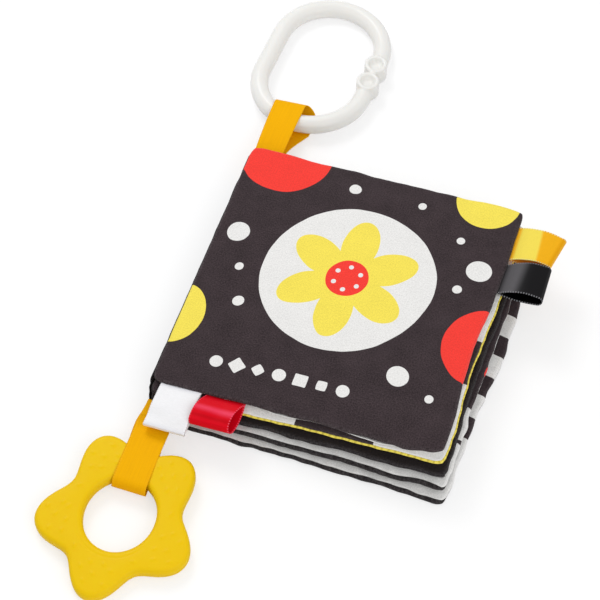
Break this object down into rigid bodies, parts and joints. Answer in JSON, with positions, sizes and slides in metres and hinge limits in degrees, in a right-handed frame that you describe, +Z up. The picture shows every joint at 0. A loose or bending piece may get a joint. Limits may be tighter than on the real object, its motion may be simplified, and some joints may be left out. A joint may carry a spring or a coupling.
{
  "type": "crinkle cloth book",
  "caption": "Baby's square cloth book with padded crinkle leaves, sewn ribbon tags, a flower teether and a clip-on link ring on ribbon loops",
  "frame": {"origin": "the middle of the underside of the back cover, on the surface that the closed book lies on", "axes": "+X runs from the spine to the fore edge, +Y to the top of the pages where the link ring hangs, +Z up out of the front cover"},
  "size_m": [0.2022, 0.3866, 0.0328],
  "materials": {
    "black_cloth": "plain-weave brushed polyester, printed, matt",
    "white_cloth": "plain-weave brushed polyester, printed, matt",
    "yellow_cloth": "plain-weave brushed polyester, matt",
    "wadding": "bonded polyester wadding",
    "crinkle_film": "thin stiff film that rustles",
    "orange_ribbon": "satin ribbon with a woven edge",
    "white_satin": "satin ribbon with a woven edge",
    "red_satin": "satin ribbon with a woven edge",
    "yellow_satin": "satin ribbon with a woven edge",
    "black_satin": "satin ribbon with a woven edge",
    "ring_plastic": "moulded plastic, semi-gloss",
    "teether_silicone": "moulded silicone, satin"
  },
  "bodies": {
    "back_cover": {"back_cover_outer_panel": "black_cloth", "back_cover_lining_panel": "white_cloth", "back_cover_crinkle_film": "crinkle_film", "back_cover_wadding": "wadding", "spine_panel": "black_cloth"},
    "page_3": {"page_3_upper_panel": "white_cloth", "page_3_lower_panel": "black_cloth", "page_3_crinkle_film": "crinkle_film", "page_3_wadding": "wadding"},
    "page_2": {"page_2_upper_panel": "black_cloth", "page_2_lower_panel": "black_cloth", "page_2_crinkle_film": "crinkle_film", "page_2_wadding": "wadding"},
    "page_1": {"page_1_upper_panel": "white_cloth", "page_1_lower_panel": "yellow_cloth", "page_1_crinkle_film": "crinkle_film", "page_1_wadding": "wadding"},
    "front_cover": {"front_cover_outer_panel": "black_cloth", "front_cover_lining_panel": "white_cloth", "front_cover_crinkle_film": "crinkle_film", "front_cover_wadding": "wadding"},
    "ring_ribbon": {"ring_ribbon": "orange_ribbon"},
    "link_ring": {"link_ring": "ring_plastic"},
    "teether_ribbon": {"teether_ribbon": "orange_ribbon"},
    "teether": {"teether": "teether_silicone"},
    "tag_white": {"tag_white": "white_satin"},
    "tag_red": {"tag_red": "red_satin"},
    "tag_yellow": {"tag_yellow": "yellow_satin"},
    "tag_black": {"tag_black": "black_satin"}
  },
  "joints": [
    {"name": "page_3_turning", "type": "hinge", "parent": "back_cover", "child": "page_3", "pos_m": [-0.07788, 0, 0.0036], "axis": [0, -1, 0], "range_deg": [0, 26], "deforming": ["spine_panel"]},
    {"name": "page_2_turning", "type": "hinge", "parent": "page_3", "child": "page_2", "pos_m": [-0.07868, 0, 0.0074], "axis": [0, -1, 0], "range_deg": [0, 26], "deforming": ["spine_panel"]},
    {"name": "page_1_turning", "type": "hinge", "parent": "page_2", "child": "page_1", "pos_m": [-0.07948, 0, 0.0112], "axis": [0, -1, 0], "range_deg": [0, 26], "deforming": ["spine_panel"]},
    {"name": "front_cover_opening", "type": "hinge", "parent": "page_1", "child": "front_cover", "pos_m": [-0.08028, 0, 0.015], "axis": [0, -1, 0], "range_deg": [0, 100], "deforming": ["spine_panel"]},
    {"name": "ring_ribbon_swing", "type": "hinge", "parent": "back_cover", "child": "ring_ribbon", "pos_m": [-0.07138, 0.08495, 0.008], "axis": [1, 0, 0], "range_deg": [-60, 45]},
    {"name": "link_ring_swing", "type": "hinge", "parent": "ring_ribbon", "child": "link_ring", "pos_m": [-0.06648, 0.12035, 0.0074], "axis": [1, 0, 0], "range_deg": [-30, 36]},
    {"name": "teether_ribbon_swing", "type": "hinge", "parent": "back_cover", "child": "teether_ribbon", "pos_m": [-0.07068, -0.07413, 0.008], "axis": [-1, 0, 0], "range_deg": [-45, 0]},
    {"name": "teether_swing", "type": "hinge", "parent": "teether_ribbon", "child": "teether", "pos_m": [-0.06998, -0.10982, 0.0063], "axis": [-1, 0, 0], "range_deg": [-8, 8]},
    {"name": "tag_white_fold", "type": "hinge", "parent": "front_cover", "child": "tag_white", "pos_m": [-0.06394, -0.06568, 0.01819], "axis": [-0.9959, -0.0428, -0.0798], "range_deg": [0, 70], "stiffness_Nm_per_rad": 0.002},
    {"name": "tag_red_fold", "type": "hinge", "parent": "front_cover", "child": "tag_red", "pos_m": [-0.04067, -0.06468, 0.02005], "axis": [-0.9959, -0.042, -0.0798], "range_deg": [-15, 70], "stiffness_Nm_per_rad": 0.002},
    {"name": "tag_yellow_fold", "type": "hinge", "parent": "front_cover", "child": "tag_yellow", "pos_m": [0.06954, 0.06547, 0.02889], "axis": [-0.0397, -0.9992, -0.0032], "range_deg": [-25, 70], "stiffness_Nm_per_rad": 0.002},
    {"name": "tag_black_fold", "type": "hinge", "parent": "front_cover", "child": "tag_black", "pos_m": [0.06879, 0.04082, 0.02883], "axis": [-0.0214, -0.9998, -0.0017], "range_deg": [-25, 70], "stiffness_Nm_per_rad": 0.002}
  ]
}
